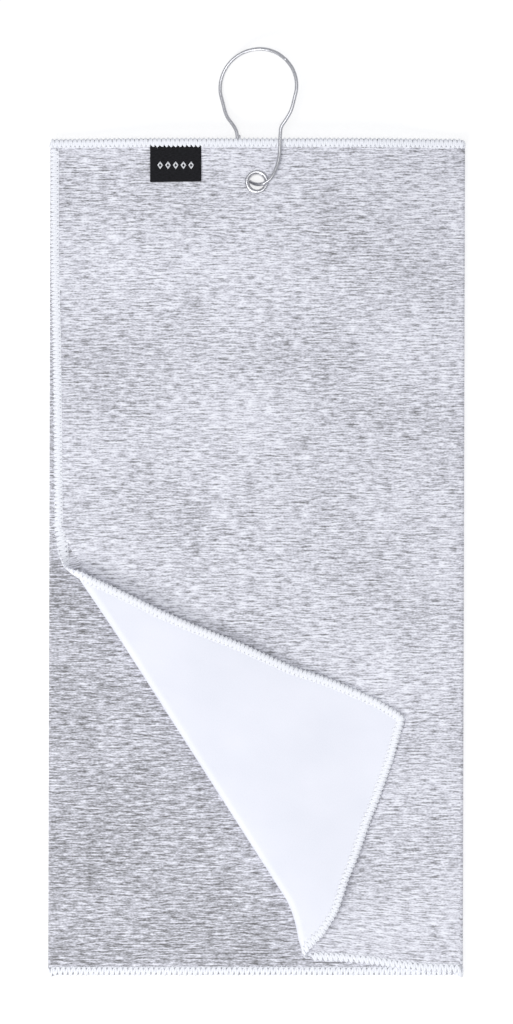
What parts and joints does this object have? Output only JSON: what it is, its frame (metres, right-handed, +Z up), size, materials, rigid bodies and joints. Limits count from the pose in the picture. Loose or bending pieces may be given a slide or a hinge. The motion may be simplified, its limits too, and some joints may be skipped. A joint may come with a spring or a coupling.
{
  "type": "golf towel",
  "caption": "Letter-folded two-faced cloth towel laid flat, one corner turned over, overlocked edges, woven tab, metal eyelet and sprung wire hanging loop.",
  "frame": {"origin": "the middle of the folded towel, on the underside of its back panel", "axes": "+Y along the towel to the edge that carries the eyelet and loop, +Z up out of the front panel, +X to the fold at the right"},
  "size_m": [0.2, 0.4442, 0.0128],
  "materials": {
    "heather_face": "fine grey heather knit, printed face",
    "brushed_reverse": "soft white brushed reverse",
    "overlock_thread": "bulked white polyester thread",
    "label_weave": "black woven satin with white figures",
    "nickel_plate": "bright nickel plate",
    "spring_wire": "polished plated wire"
  },
  "bodies": {
    "towel": {"front_panel": "heather_face", "inner_panel": "heather_face", "back_panel": "heather_face", "right_fold": "heather_face", "left_fold": "heather_face", "front_top_hem": "overlock_thread", "inner_top_hem": "overlock_thread", "back_top_hem": "overlock_thread", "front_side_hem": "overlock_thread", "inner_side_hem": "overlock_thread", "front_bottom_hem": "overlock_thread", "inner_bottom_hem": "overlock_thread", "back_bottom_hem": "overlock_thread", "corner_crease": "brushed_reverse", "eyelet": "nickel_plate", "eyelet_washer": "nickel_plate"},
    "corner": {"turned_corner": "brushed_reverse", "corner_side_hem": "overlock_thread", "corner_bottom_hem": "overlock_thread"},
    "label": {"woven_label": "label_weave"},
    "loop": {"wire_loop": "spring_wire"},
    "gate": {"wire_gate": "spring_wire"}
  },
  "joints": [
    {"name": "loop_swing", "type": "hinge", "parent": "towel", "child": "loop", "pos_m": [0, 0.1795, 0.0065], "axis": [0, 0, 1], "range_deg": [-50, 50]},
    {"name": "gate_spring", "type": "hinge", "parent": "loop", "child": "gate", "pos_m": [0.0007, 0.2433, 0.00646], "axis": [0.2874, 0, -0.9578], "range_deg": [0, 10], "stiffness_Nm_per_rad": 0.05},
    {"name": "corner_turn", "type": "hinge", "parent": "towel", "child": "corner", "pos_m": [-0.084, -0.0045, 0.0054], "axis": [0.5388, -0.8425, 0], "range_deg": [0, 178], "deforming": ["corner_crease"]},
    {"name": "label_lift", "type": "hinge", "parent": "towel", "child": "label", "pos_m": [-0.0388, 0.196, 0.00835], "axis": [-1, 0, 0], "range_deg": [0, 160]}
  ]
}
